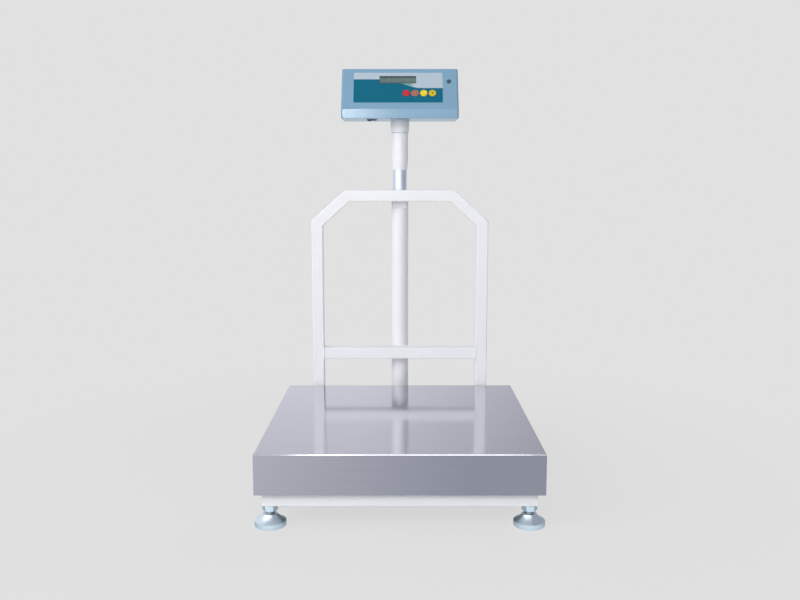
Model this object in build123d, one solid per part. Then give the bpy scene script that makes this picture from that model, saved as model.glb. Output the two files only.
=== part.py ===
from build123d import *
import math
import os

# Platform scale. Millimetres, +Z up, +X to the right and +Y to the back as the user stands
# before it. The origin is on the floor, under the middle of the whole scale's outline.

# Square tube of all the welded frames
tube_side = 25.0
tube_wall = 2.0
tube_corner = 2.0

# Weighing pan, a folded and welded stainless cover
pan_size = 500.0
pan_sheet = 1.5
pan_bend = 2.6
skirt_height = 73.0

# Base frame and what stands on it, from the floor up
ground_clearance = 37.5
base_inset = 12.0
plate_thickness = 6.0
cell_height = 30.0
deck_gap = 3.5
pad_thickness = 4.0

# Load cell and its screws
cell_length = 150.0
cell_width = 40.0
cell_hole = 20.0
cell_hole_pitch = 34.0
cell_slot = 6.0
cell_screw_inset = 12.0
cell_screw_row = 20.0
cell_screw_spread = 25.0
cell_screw_depth = 14.0
centre_tube_gap = 12.5
cell_plate_overhang = 5.0
cell_gland_radius = 4.0
cell_gland_depth = 8.0

# Overload stops
stop_gap = 1.3
stop_inset = 58.0

# Levelling feet
pad_radius = 27.5
pad_rim = 9.0
pad_neck_radius = 12.0
pad_height = 21.5
pad_chamfer = 0.8
pad_dip = 1.0
stud_radius = 8.0
stud_foot_gap = 4.3
stud_reach = 17.0
stud_chamfer = 1.0
lock_nut_flats = 24.0
lock_nut_height = 10.0

# Deck rubber pads
deck_pad_radius = 15.0

# Guard rail behind the pan
rail_gap = 5.0
rail_width = 391.0
rail_top = 572.0
rail_corner_across = 75.0
rail_corner_up = 67.5
crossbar_bottom = 194.5
spacer_height = 20.0

# Mast
mast_radius = 19.0
mast_wall = 2.0
mast_gap = 1.0
saddle_width = 28.0
saddle_drop = 14.0
bush_length = 40.0
bush_flange = 3.0
inner_mast_radius = 15.0
inner_mast_wall = 1.5
inner_mast_overlap = 252.0
clamp_below_top = 22.0

# Neck and swivel collar
neck_bottom = 616.0
neck_taper = 22.0
neck_lip = 1.3
neck_radius = 18.0
spigot_radius = 14.0
neck_hollow = 11.0
collar_radius = 19.5
collar_flare = 1.5
collar_height = 28.4
collar_floor = 4.0
cable_hole_radius = 9.0

# Indicator case
case_width = 254.0
case_depth = 113.0
case_bottom = 725.4
chin_height = 20.0
face_slant = 104.0
face_lean = 30.0
case_back_lean = 11.0
chin_ahead_of_mast = 60.0
case_wall = 2.5
case_round = 4.0
case_foot_round = 1.0
case_parting = 32.0
case_seam = 0.6
case_screw_inset_x = 10.0
case_screw_inset_y = 10.0
case_pillar_radius = 4.5
case_seat = 8.0

# Face of the indicator, measured on the slanted face from its middle
overlay_height = 77.0
overlay_left = 26.5
overlay_right = 34.0
overlay_y = 2.8
overlay_sheet = 0.8
overlay_recess = 0.6
overlay_round = 3.0
window_width = 80.0
window_height = 19.5
window_x = -4.5
window_y = 23.4
window_glass = 2.0
window_recess = 0.6
key_radius = 8.0
key_last_inset = 22.3
key_pitch = 18.9
key_count = 4
key_y = -11.9
key_proud = 1.2
key_travel = 0.8
key_flange = 1.0
key_flange_radius = 9.1
key_stem_radius = 3.0
lamp_inset = 20.6
lamp_y = 18.7
lamp_radius = 4.0
lamp_flange_radius = 4.8
lamp_flange = 1.0
lamp_length = 12.0
lamp_dome = 2.5
lamp_dome_round = 2.25

# Boards and power parts inside the case
board_sheet = 1.6
digit_depth = 8.0
digit_count = 6
digit_gap = 0.6
digit_raised = 0.4
front_board_margin = 3.0
board_post_radius = 3.5
switch_side = 6.0
switch_height = 3.5
plunger_radius = 1.75
plunger_height = 0.8
main_board_gap = 12.0
main_board_depth = 62.0
main_board_post = 5.0
capacitor_radius = 5.0
capacitor_height = 16.0
capacitor_pitch = 15.0
heat_sink_depth = 18.0
heat_sink_ribs = 4
strip_width = 30.0
battery_side_gap = 6.0
battery_depth = 24.0
battery_height = 52.0
battery_terminal = 6.0
battery_terminal_inset = 16.0
moulding_round = 1.0
transformer_side_gap = 9.0
transformer_width = 35.0
transformer_depth = 30.0
transformer_height = 29.0
core_share = 0.6

# Power switch under the case and cable grommet at the back
rocker_inset = 65.5
rocker_behind_chin = 45.0
rocker_bezel_width = 21.0
rocker_bezel_depth = 15.0
rocker_bezel = 2.0
rocker_body_width = 18.8
rocker_body_depth = 12.8
rocker_body_height = 15.0
rocker_width = 15.0
rocker_depth = 9.6
rocker_root = 3.0
rocker_proud = 2.0
rocker_throw = 14.0
rocker_axle_radius = 1.2
rocker_axle_bite = 0.8
grommet_inset = 43.0
grommet_height = 50.0
grommet_radius = 8.0
grommet_neck_radius = 6.0
grommet_bore_radius = 3.5
grommet_lip = 2.5

# Clearances
fit = 0.05
slack = 0.2
bolt_slack = 0.3
swivel_gap = 0.8
spigot_top_gap = 4.4

# Screws
m8_radius = 4.0
m8_head_radius = 6.5
m8_head_height = 8.0
m8_socket_flats = 6.0
m8_flats = 13.0
m8_nut_height = 6.5
m10_radius = 5.0
m10_flats = 16.0
m10_head_height = 6.5
m10_nut_height = 8.0
case_screw_radius = 1.5
case_screw_head_radius = 3.0
case_screw_head = 2.2
case_screw_bite = 12.0
screw_head_gap = 1.5
collar_screw_count = 3

# Frames inside the pan's outline
base_size = pan_size - 2 * base_inset
deck_size = pan_size - 2 * (pan_sheet + deck_gap)
centre_tube_pitch = cell_width + 2 * centre_tube_gap + tube_side
stop_spread = base_size - 2 * stop_inset

# Heights of the stack
base_top = ground_clearance + tube_side
cell_bottom = base_top + plate_thickness
cell_top = cell_bottom + cell_height
deck_bottom = cell_top + plate_thickness
deck_top = deck_bottom + tube_side
pan_top = deck_top + pad_thickness + pan_sheet
neck_top = case_bottom - collar_height
spigot_height = collar_height - collar_floor - spigot_top_gap

# Places along Y: the outline's middle lies at 0
foot_offset = (base_size - tube_side) / 2
front_reach = foot_offset + pad_radius
mast_behind_pan = pan_size / 2 + rail_gap + tube_side + mast_gap + mast_radius
rear_reach = mast_behind_pan + case_depth - chin_ahead_of_mast
pan_y = (front_reach - rear_reach) / 2
mast_y = pan_y + mast_behind_pan
chin_y = mast_y - chin_ahead_of_mast
rail_y = pan_y + pan_size / 2 + rail_gap + tube_side / 2
rail_front = rail_y - tube_side / 2
rail_back = rail_y + tube_side / 2
base_back = pan_y + base_size / 2
mast_top = rail_top - bush_flange
clamp_z = mast_top - clamp_below_top

# Widths inside the indicator
overlay_width = case_width - overlay_left - overlay_right
overlay_x = (overlay_left - overlay_right) / 2
front_board_width = overlay_width - 2 * front_board_margin
front_board_height = overlay_height - 2 * front_board_margin
key_last_x = case_width / 2 - overlay_right - key_last_inset
lamp_x = case_width / 2 - lamp_inset
rocker_x = rocker_inset - case_width / 2
grommet_x = case_width / 2 - grommet_inset
collar_screw_ring = (cable_hole_radius + collar_radius) / 2
swivel_clear = collar_screw_ring + case_screw_head_radius + screw_head_gap
inner_half = case_width / 2 - case_wall
battery_width = inner_half - battery_side_gap - 2 * screw_head_gap - swivel_clear
battery_x = battery_side_gap + battery_width / 2 - inner_half
transformer_x = inner_half - transformer_side_gap - transformer_width / 2
main_board_width = transformer_x - transformer_width / 2 - main_board_gap - swivel_clear
main_board_x = swivel_clear + main_board_width / 2

# Face of the indicator
lean = math.radians(face_lean)
fold_z = case_bottom + chin_height
face_rise = face_slant * math.cos(lean)
face_run = face_slant * math.sin(lean)
case_top = fold_z + face_rise
face_plane = Plane(
    origin=(0, chin_y + face_run / 2, fold_z + face_rise / 2),
    x_dir=(1, 0, 0),
    z_dir=(0, -math.cos(lean), math.sin(lean)),
)
case_floor = case_bottom + case_wall
board_front = case_wall + digit_depth
switch_top = board_front - switch_height - plunger_height


def rod(radius, length, plane=Plane.XY):
    """A round bar that starts on a plane and runs along its normal."""
    return extrude(plane * Circle(radius), amount=length)


def block(width, depth, height, plane=Plane.XY):
    """A rectangular block that stands on a plane, centred."""
    return extrude(plane * Rectangle(width, depth), amount=height)


def hexagon(flats, height, bore, plane=Plane.XY):
    """A nut or a bolt's head: a hexagon with turned corners and, for a nut, its bore."""
    corner_radius = flats / math.sqrt(3)
    nut = extrude(plane * RegularPolygon(flats / 2, 6, major_radius=False), amount=height)
    nut &= chamfer(rod(corner_radius, height, plane).edges(), corner_radius - flats / 2)
    return nut - rod(bore, height, plane) if bore else nut


def bolt(radius, length, head, plane):
    """A bolt whose head's seat lies on a plane, with its shank along the normal."""
    return head + rod(radius, length, plane)


def cap_screw(length, plane):
    """An M8 socket cap screw, head behind the plane."""
    seat = plane.offset(-m8_head_height)
    head = rod(m8_head_radius, m8_head_height, seat)
    socket = hexagon(m8_socket_flats, m8_head_height / 2, 0, seat)
    return bolt(m8_radius, length, head - socket, plane)


def hex_bolt(length, plane):
    """An M8 hexagon bolt, head behind the plane."""
    head = hexagon(m8_flats, m8_nut_height, 0, plane.offset(-m8_nut_height))
    return bolt(m8_radius, length, head, plane)


def inset(outline, closed, distance):
    """The corners of a clockwise outline, moved inwards by a distance on their bisectors."""
    corners = [Vector(*point) for point in outline]
    last = len(corners) - 1
    moved = []
    for i, corner in enumerate(corners):
        sides = []
        if closed or i > 0:
            sides.append((corner - corners[i - 1]).normalized())
        if closed or i < last:
            sides.append((corners[(i + 1) % len(corners)] - corner).normalized())
        inwards = [Vector(side.Y, -side.X) for side in sides]
        share = 1 + inwards[0].dot(inwards[-1])
        moved.append(corner + (inwards[0] + inwards[-1]) * (distance / share))
    return moved


def prism(corners, plane, half_depth):
    """A polygon drawn on a plane, thickened equally to both sides."""
    face = make_face(Polyline(*corners, close=True))
    return extrude(plane * face, amount=half_depth, both=True)


def mitred_tubes(outline, closed, plane):
    """Square tubes along a clockwise outline, mitred where they meet."""
    half = tube_side / 2
    outer = inset(outline, closed, 0)
    outer_cavity = inset(outline, closed, tube_wall)
    inner_cavity = inset(outline, closed, tube_side - tube_wall)
    inner = inset(outline, closed, tube_side)
    tubes = []
    for i in range(len(outline) if closed else len(outline) - 1):
        j = (i + 1) % len(outline)
        bar = prism([outer[i], outer[j], inner[j], inner[i]], plane, half)
        run = plane.from_local_coords(outer[j]) - plane.from_local_coords(outer[i])
        bar = fillet(bar.edges().filter_by(Axis((0, 0, 0), run)), tube_corner)
        corners = [outer_cavity[i], outer_cavity[j], inner_cavity[j], inner_cavity[i]]
        tubes.append(bar - prism(corners, plane, half - tube_wall))
    return tubes


def straight_tube(length, plane):
    """A square tube that runs along a plane's normal, centred on it."""
    outside = extrude(plane * Rectangle(tube_side, tube_side), amount=length / 2, both=True)
    outside = fillet(outside.edges().filter_by(Axis((0, 0, 0), plane.z_dir)), tube_corner)
    hollow = tube_side - 2 * tube_wall
    return outside - extrude(plane * Rectangle(hollow, hollow), amount=length / 2, both=True)


def square_outline(size):
    """A square's corners, clockwise from the front left."""
    half = size / 2
    return [(-half, -half), (-half, half), (half, half), (half, -half)]


def at_corners(half_x, half_y):
    """The four corners round the pan's middle: front left, front right, rear left, rear right."""
    return [(x, pan_y + y) for y in (-half_y, half_y) for x in (-half_x, half_x)]


def save(node, *solids):
    """Write one node's solids to its own file."""
    export_step(Compound(children=list(solids)), f"parts/{node}.step")


os.makedirs("parts", exist_ok=True)

# Base frame: four mitred tubes, with two centre tubes that carry the load cell
base_level = Plane((0, pan_y, ground_clearance + tube_side / 2))
base_tubes = mitred_tubes(square_outline(base_size), True, base_level)
foot_places = at_corners(foot_offset, foot_offset)
stud_holes = [
    rod(stud_radius + bolt_slack, tube_side, Plane((x, y, ground_clearance)))
    for x, y in foot_places
]
upright_x = rail_width / 2 - tube_side / 2
bolt_z = ground_clearance + spacer_height / 2
upright_planes = [
    Plane((side * upright_x, rail_back, bolt_z), x_dir=(1, 0, 0), z_dir=(0, -1, 0))
    for side in (-1, 1)
]
bolt_length = rail_back - base_back + tube_wall + m8_radius
bolt_holes = [
    rod(m8_radius + bolt_slack, bolt_length, plane) for plane in upright_planes
]
base_tubes = [tube - stud_holes - bolt_holes for tube in base_tubes]
save("base_side_tubes", base_tubes[0], base_tubes[2])
save("base_end_tubes", base_tubes[1], base_tubes[3])


def centre_tubes(length, bottom):
    """Two tubes from side to side, either side of the load cell."""
    return [
        straight_tube(length, Plane(
            (0, pan_y + side * centre_tube_pitch / 2, bottom + tube_side / 2),
            x_dir=(0, 1, 0), z_dir=(1, 0, 0),
        ))
        for side in (-1, 1)
    ]


save("base_centre_tubes", *centre_tubes(base_size - 2 * tube_side, ground_clearance))

# Load cell: a bar cut through by two joined holes, so that it bends like a parallelogram
cell_end = cell_length / 2
screw_x = cell_end - cell_screw_inset - cell_screw_row / 2


def cell_screw_places(side):
    """The four screws at one end of the load cell."""
    return [
        (side * screw_x + along * cell_screw_row / 2, pan_y + across * cell_screw_spread / 2)
        for along in (-1, 1) for across in (-1, 1)
    ]


def load_cell():
    """The load cell, fixed end on the left and live end on the right."""
    middle = cell_bottom + cell_height / 2
    bar = block(cell_length, cell_width, cell_height, Plane((0, pan_y, cell_bottom)))
    side_view = Plane((0, pan_y, middle), x_dir=(1, 0, 0), z_dir=(0, -1, 0))
    cut = Rectangle(cell_hole_pitch, cell_slot)
    for end in (-1, 1):
        cut += Pos(end * cell_hole_pitch / 2, 0) * Circle(cell_hole / 2)
    bar -= extrude(side_view * cut, amount=cell_width / 2, both=True)
    tapped = m8_radius + fit
    bar -= [
        rod(tapped, cell_screw_depth, Plane((x, y, cell_bottom)))
        for x, y in cell_screw_places(-1)
    ]
    bar -= [
        rod(tapped, cell_screw_depth, Plane((x, y, cell_top - cell_screw_depth)))
        for x, y in cell_screw_places(1)
    ]
    outlet = Plane((-cell_end, pan_y, middle), x_dir=(0, 1, 0), z_dir=(1, 0, 0))
    return bar - rod(cell_gland_radius, cell_gland_depth, outlet)


def cell_plate(side, bottom):
    """A plate across the two centre tubes, under or over one end of the load cell."""
    length = 2 * (cell_end - screw_x) + cell_plate_overhang
    middle_x = side * (cell_end + cell_plate_overhang - length / 2)
    plate = block(
        length, centre_tube_pitch + tube_side, plate_thickness, Plane((middle_x, pan_y, bottom))
    )
    return plate - [
        rod(m8_radius + bolt_slack, plate_thickness, Plane((x, y, bottom)))
        for x, y in cell_screw_places(side)
    ]


cell_screw_length = plate_thickness + cell_screw_depth - bolt_slack
save("load_cell", load_cell())
save("load_cell_base_plate", cell_plate(-1, base_top))
save("load_cell_deck_plate", cell_plate(1, cell_top))
save("load_cell_lower_screws", *[
    cap_screw(cell_screw_length, Plane((x, y, base_top))) for x, y in cell_screw_places(-1)
])
save("load_cell_upper_screws", *[
    cap_screw(cell_screw_length, Plane((x, y, deck_bottom), x_dir=(1, 0, 0), z_dir=(0, 0, -1)))
    for x, y in cell_screw_places(1)
])

# Overload stops: upright bolts locked to the base, their heads just under the deck
stop_places = at_corners(foot_offset, stop_spread / 2)
stop_seat = deck_bottom - stop_gap - m10_head_height
save("overload_stop_screws", *[
    bolt(
        m10_radius,
        stop_seat - base_top,
        hexagon(m10_flats, m10_head_height, 0, Plane((x, y, stop_seat))),
        Plane((x, y, stop_seat), x_dir=(1, 0, 0), z_dir=(0, 0, -1)),
    )
    for x, y in stop_places
])
save("overload_stop_nuts", *[
    hexagon(m10_flats, m10_nut_height, m10_radius + fit, Plane((x, y, base_top)))
    for x, y in stop_places
])

# Levelling feet: a threaded block in each corner of the base, a lock nut, a stud and a pad
hollow = tube_side - 2 * tube_wall
save("foot_bosses", *[
    block(hollow - fit, hollow - fit, hollow, Plane((x, y, ground_clearance + tube_wall)))
    - rod(stud_radius + fit, tube_side, Plane((x, y, ground_clearance)))
    for x, y in foot_places
])
save("foot_lock_nuts", *[
    hexagon(
        lock_nut_flats, lock_nut_height, stud_radius + fit,
        Plane((x, y, ground_clearance - lock_nut_height)),
    )
    for x, y in foot_places
])


def foot_pad():
    """A turned pad: an upright rim and a dished cone, bored for the stud's foot."""
    cone = ThreePointArc(
        (pad_radius, pad_rim),
        ((pad_radius + pad_neck_radius) / 2 - pad_dip, (pad_rim + pad_height) / 2 - pad_dip),
        (pad_neck_radius, pad_height),
    )
    rest = Polyline(
        (pad_neck_radius, pad_height), (0, pad_height), (0, 0),
        (pad_radius - pad_chamfer, 0), (pad_radius, pad_chamfer), (pad_radius, pad_rim),
    )
    pad = revolve(Plane.XZ * make_face([cone, rest]), Axis.Z)
    return pad - rod(stud_radius + fit, pad_height, Plane((0, 0, stud_foot_gap - fit)))


stud_length = base_top + stud_reach - stud_foot_gap
stud_bar = rod(stud_radius, stud_length, Plane((0, 0, stud_foot_gap)))
foot_stud = chamfer(stud_bar.edges().group_by(Axis.Z)[-1], stud_chamfer)
for corner, (x, y) in zip(("fl", "fr", "rl", "rr"), foot_places):
    save(f"foot_pad_{corner}", Pos(x, y) * foot_pad())
    save(f"foot_stud_{corner}", Pos(x, y) * foot_stud)

# Deck: the live frame on the load cell, with rubber pads under the pan
deck_level = Plane((0, pan_y, deck_bottom + tube_side / 2))
deck_tubes = mitred_tubes(square_outline(deck_size), True, deck_level)
save("deck_side_tubes", deck_tubes[0], deck_tubes[2])
save("deck_end_tubes", deck_tubes[1], deck_tubes[3])
save("deck_centre_tubes", *centre_tubes(deck_size - 2 * tube_side, deck_bottom))
deck_line = (deck_size - tube_side) / 2
deck_pad_places = at_corners(deck_line, deck_line) + [
    (side * deck_line, pan_y) for side in (-1, 1)
] + [(0, pan_y + side * deck_line) for side in (-1, 1)]
save("deck_pads", *[
    rod(min(deck_pad_radius, tube_side / 2), pad_thickness, Plane((x, y, deck_top)))
    for x, y in deck_pad_places
])


def pan():
    """The pan: a flat top with four skirts, sharp welded corners and a small bend at the top."""
    outer = block(pan_size, pan_size, skirt_height, Plane((0, pan_y, pan_top - skirt_height)))
    outer = fillet(outer.faces().sort_by(Axis.Z)[-1].edges(), pan_bend)
    inside = pan_size - 2 * pan_sheet
    inner = block(
        inside, inside, skirt_height - pan_sheet, Plane((0, pan_y, pan_top - skirt_height))
    )
    inner = fillet(inner.faces().sort_by(Axis.Z)[-1].edges(), pan_bend - pan_sheet)
    return outer - inner


save("pan", pan())

# Guard rail: posts, slanted corners and a top bar mitred from one tube, with a crossbar
side_x = rail_width / 2
shoulder_z = rail_top - rail_corner_up
rail_outline = [
    (-side_x, ground_clearance),
    (-side_x, shoulder_z),
    (rail_corner_across - side_x, rail_top),
    (side_x - rail_corner_across, rail_top),
    (side_x, shoulder_z),
    (side_x, ground_clearance),
]
rail_plane = Plane((0, rail_y, 0), x_dir=(1, 0, 0), z_dir=(0, -1, 0))
post_l, corner_l, top_bar, corner_r, post_r = mitred_tubes(rail_outline, False, rail_plane)
save("rail_posts", post_l - bolt_holes, post_r - bolt_holes)
save("rail_corner_tubes", corner_l, corner_r)
save("rail_top_bar", top_bar)
save("rail_crossbar", straight_tube(rail_width - 2 * tube_side, Plane(
    (0, rail_y, crossbar_bottom + tube_side / 2), x_dir=(0, 1, 0), z_dir=(1, 0, 0)
)))


def spacer(side):
    """A short flat tube that holds a post off the base."""
    plane = Plane((side * upright_x, base_back, bolt_z), x_dir=(1, 0, 0), z_dir=(0, 1, 0))
    ring = Rectangle(tube_side, spacer_height)
    ring -= Rectangle(hollow, spacer_height - 2 * tube_wall)
    return extrude(plane * ring, amount=rail_front - base_back)


save("upright_spacers", spacer(-1), spacer(1))
save("upright_bolts", *[hex_bolt(bolt_length, plane) for plane in upright_planes])

# Mast: a fixed outer tube behind the rail, held by coped blocks, with a bush in its top
mast_axis = Plane((0, mast_y, ground_clearance))
mast_height = mast_top - ground_clearance
mast_hollow = mast_radius - mast_wall
cope = rod(mast_radius + fit, mast_height + bush_flange, mast_axis)
clamp_plane = Plane((0, mast_y, clamp_z), x_dir=(1, 0, 0), z_dir=(0, 1, 0))
clamp_hole = rod(m8_radius + fit, mast_radius + m8_nut_height, clamp_plane)


def saddle(bottom, height):
    """A block between a bar of the rail and the mast, coped round the mast."""
    depth = mast_y - rail_back
    return block(saddle_width, depth, height, Plane((0, rail_back + depth / 2, bottom))) - cope


foot_depth = mast_y - base_back
foot_middle = base_back + foot_depth / 2
save("mast_tube", rod(mast_radius, mast_height, mast_axis)
     - rod(mast_hollow, mast_height, mast_axis) - clamp_hole)
save("mast_saddles",
     saddle(crossbar_bottom, tube_side),
     saddle(rail_top - tube_side - saddle_drop, tube_side + saddle_drop))
save("mast_foot_block", block(
    saddle_width, foot_depth, spacer_height, Plane((0, foot_middle, ground_clearance))
) - cope)


def mast_bush():
    """A flanged sleeve that guides the inner mast in the outer one."""
    bottom = Plane((0, mast_y, mast_top - bush_length))
    sleeve = rod(mast_hollow - fit, bush_length, bottom)
    sleeve += rod(mast_radius, bush_flange, Plane((0, mast_y, mast_top)))
    bore = rod(inner_mast_radius + fit, bush_length + bush_flange, bottom)
    return sleeve - bore - clamp_hole


save("mast_bush", mast_bush())
nut_seat = clamp_plane.offset(mast_radius - fit)
clamp_length = mast_radius + m8_nut_height - inner_mast_radius
save("mast_clamp_nut", hexagon(m8_flats, m8_nut_height, m8_radius + fit, nut_seat) - cope)
screw_seat = Plane(
    (0, mast_y + mast_radius + m8_nut_height, clamp_z), x_dir=(1, 0, 0), z_dir=(0, -1, 0)
)
save("mast_clamp_screw", hex_bolt(clamp_length - fit, screw_seat))
post_plugs = [
    block(
        hollow - fit, hollow - fit, tube_side / 2,
        Plane((side * upright_x, rail_y, ground_clearance)),
    ) - bolt_holes
    for side in (-1, 1)
]
mast_plug = rod(mast_hollow - fit, tube_side / 2, mast_axis)
mast_plug -= rod(neck_hollow / 2, tube_side / 2, mast_axis)
save("upright_plugs", *post_plugs, mast_plug)

# Inner mast, with the neck pressed over its top
inner_bottom = mast_top - inner_mast_overlap
inner_top = neck_top - slack
inner_plane = Plane((0, mast_y, inner_bottom))
inner_length = inner_top - inner_bottom
inner_hollow = inner_mast_radius - inner_mast_wall
save("inner_mast_tube", rod(inner_mast_radius, inner_length, inner_plane)
     - rod(inner_hollow, inner_length, inner_plane))


def neck():
    """A moulded sleeve that tapers at its foot and carries a spigot for the swivel."""
    socket = inner_mast_radius + fit
    outline = Polyline(
        (socket, neck_bottom), (socket + neck_lip, neck_bottom),
        (neck_radius, neck_bottom + neck_taper), (neck_radius, neck_top),
        (spigot_radius, neck_top), (spigot_radius, neck_top + spigot_height),
        (neck_hollow, neck_top + spigot_height), (neck_hollow, neck_top),
        (socket, neck_top), (socket, neck_bottom),
    )
    return Pos(0, mast_y) * revolve(Plane.XZ * make_face(outline), Axis.Z)


save("neck", neck())


def collar():
    """A cup that turns on the neck's spigot, flares upwards and is screwed under the case."""
    bottom = neck_top + swivel_gap
    floor_z = case_bottom - collar_floor
    outline = Polyline(
        (0, bottom), (collar_radius, bottom), (collar_radius + collar_flare, case_bottom),
        (0, case_bottom), close=True,
    )
    cup = Pos(0, mast_y) * revolve(Plane.XZ * make_face(outline), Axis.Z)
    cup -= rod(spigot_radius + fit, floor_z - bottom, Plane((0, mast_y, bottom)))
    return cup - cable_hole - collar_screw_holes


collar_screw_length = case_wall + collar_floor - slack
collar_screw_planes = [
    Plane(Pos(0, mast_y, case_floor) * location * Rot(180, 0, 0))
    for location in PolarLocations(collar_screw_ring, collar_screw_count)
]
collar_screw_holes = [
    rod(case_screw_radius + fit, collar_screw_length, plane) for plane in collar_screw_planes
]
cable_hole = rod(
    cable_hole_radius, collar_floor + case_wall, Plane((0, mast_y, case_bottom - collar_floor))
)
save("collar", collar())


def small_screw(length, plane):
    """A self-tapping pan-head screw, head behind the plane."""
    head = rod(case_screw_head_radius, case_screw_head, plane.offset(-case_screw_head))
    return bolt(case_screw_radius, length, head, plane)


save("collar_screws", *[
    small_screw(collar_screw_length, plane) for plane in collar_screw_planes
])

# Indicator case: a wedge with an upright chin and a face that leans back, in two halves
case_back = chin_y + case_depth
case_profile = [
    (chin_y, case_bottom),
    (chin_y, fold_z),
    (chin_y + face_run, case_top),
    (case_back - case_back_lean, case_top),
    (case_back, case_bottom),
]
side_plane = Plane((0, 0, 0), x_dir=(0, 1, 0), z_dir=(1, 0, 0))
parting = face_plane.offset(-case_parting)
# The case's edges are rounded, those round its floor less, and the fold across it stays crisp
case_skin = prism(case_profile, side_plane, case_width / 2)
upper_edges = case_skin.edges().filter_by(lambda edge: edge.center().Z > case_bottom + fit)
case_skin = fillet(upper_edges.filter_by(
    lambda edge: abs(edge.center().Y - chin_y) > fit or abs(edge.center().X) > fit
), case_round)
case_skin = fillet(case_skin.faces().sort_by(Axis.Z)[0].edges(), case_foot_round)
case_cavity = prism(inset(case_profile, True, case_wall), side_plane, case_width / 2 - case_wall)
case_shell = case_skin - case_cavity
# A shallow groove runs all round the case where its halves meet
seam_core = prism(inset(case_profile, True, case_seam), side_plane, case_width / 2 - case_seam)
seam_groove = extrude(parting * Rectangle(2 * case_width, 2 * case_width), amount=case_seam)
case_shell -= seam_groove - seam_core
case_screw_places = [
    (x * (case_width / 2 - case_screw_inset_x), y * (face_slant / 2 - case_screw_inset_y))
    for x in (-1, 1) for y in (-1, 1)
]


def on_face(x, y, depth):
    """A plane parallel to the face at a place on it, sunk by a depth, facing out."""
    return Plane(
        face_plane.from_local_coords(Vector(x, y, -depth)), x_dir=(1, 0, 0), z_dir=face_plane.z_dir
    )


def into_face(x, y, depth):
    """The same place as on_face, facing into the case."""
    return Plane(
        face_plane.from_local_coords(Vector(x, y, -depth)), x_dir=(1, 0, 0), z_dir=-face_plane.z_dir
    )


overlay_outline = RectangleRounded(overlay_width, overlay_height, overlay_round)
overlay_shape = Pos(overlay_x, overlay_y) * overlay_outline
window_shape = Pos(window_x, window_y) * Rectangle(window_width, window_height)
key_xs = [key_last_x - i * key_pitch for i in reversed(range(key_count))]
key_gap = bolt_slack
face_cuts = [extrude(face_plane * window_shape, amount=board_front, both=True)] + [
    rod(key_radius + key_gap, case_wall + overlay_sheet, on_face(x, key_y, case_wall))
    for x in key_xs
]
post_x = front_board_width / 2 - 2 * board_post_radius
post_y = front_board_height / 2 - 2 * board_post_radius
board_posts = [
    (overlay_x + x * post_x, overlay_y + y * post_y) for x in (-1, 1) for y in (-1, 1)
]


def case_front():
    """The front half: face, chin, and the bosses for the boards and the long screws."""
    shell = split(case_shell, bisect_by=parting, keep=Keep.TOP)
    sunk = case_wall / 2
    shell += [
        rod(case_pillar_radius, case_parting - sunk, on_face(x, y, case_parting))
        for x, y in case_screw_places
    ]
    shell += [
        rod(board_post_radius, board_front - sunk, on_face(x, y, board_front))
        for x, y in board_posts
    ]
    shell -= [
        rod(case_screw_radius + fit, case_screw_bite, on_face(x, y, case_parting))
        for x, y in case_screw_places
    ]
    shell -= extrude(face_plane.offset(-overlay_recess) * overlay_shape, amount=case_wall)
    return shell - face_cuts - rod(lamp_radius + fit, case_wall, on_face(lamp_x, lamp_y, case_wall))


def case_rear():
    """The rear half: back, floor, and pillars that carry the screws' seats and the board."""
    shell = split(case_shell, bisect_by=parting, keep=Keep.BOTTOM)
    for x, y in case_screw_places:
        start = into_face(x, y, case_parting)
        shell += rod(case_pillar_radius, case_depth, start) & case_skin
        shell -= rod(case_screw_radius + slack, case_seat, start)
        shell -= rod(case_screw_head_radius + slack, case_depth, start.offset(case_seat))
    sunk = case_wall / 2
    shell += [
        rod(board_post_radius, main_board_post + sunk, Plane((x, y, case_floor - sunk)))
        for x, y in main_board_posts
    ]
    shell -= rocker_hole
    shell -= grommet_hole
    return shell - cable_hole - collar_screw_holes


main_board_y = mast_y + cable_hole_radius
main_board_posts = [
    (
        main_board_x + x * (main_board_width / 2 - board_post_radius),
        main_board_y + y * (main_board_depth / 2 - board_post_radius),
    )
    for x in (-1, 1) for y in (-1, 1)
]
rocker_y = chin_y + rocker_behind_chin
rocker_plane = Plane((rocker_x, rocker_y, case_bottom))
rocker_hole = block(
    rocker_body_width + slack, rocker_body_depth + slack, 2 * case_wall,
    rocker_plane.offset(-case_wall),
)
back_slope = case_back_lean / (case_top - case_bottom)
back_normal = Vector(0, 1, back_slope).normalized()
grommet_plane = Plane(
    (grommet_x, case_back - back_slope * grommet_height, case_bottom + grommet_height),
    x_dir=(1, 0, 0), z_dir=back_normal,
)
grommet_hole = rod(grommet_neck_radius + fit, 2 * case_wall, grommet_plane.offset(-2 * case_wall))
save("case_front", case_front())
save("case_rear", case_rear())
save("case_screws", *[
    small_screw(case_seat + case_screw_bite - slack, on_face(x, y, case_parting + case_seat))
    for x, y in case_screw_places
])

# Overlay, window and digits
overlay_seat = face_plane.offset(-overlay_recess)
save("overlay", extrude(overlay_seat * overlay_shape, amount=overlay_sheet) - face_cuts)
pane = Pos(window_x, window_y) * Rectangle(window_width - slack, window_height - slack)
pane_seat = face_plane.offset(-window_recess - window_glass)
save("display_window", extrude(pane_seat * pane, amount=window_glass))


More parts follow.
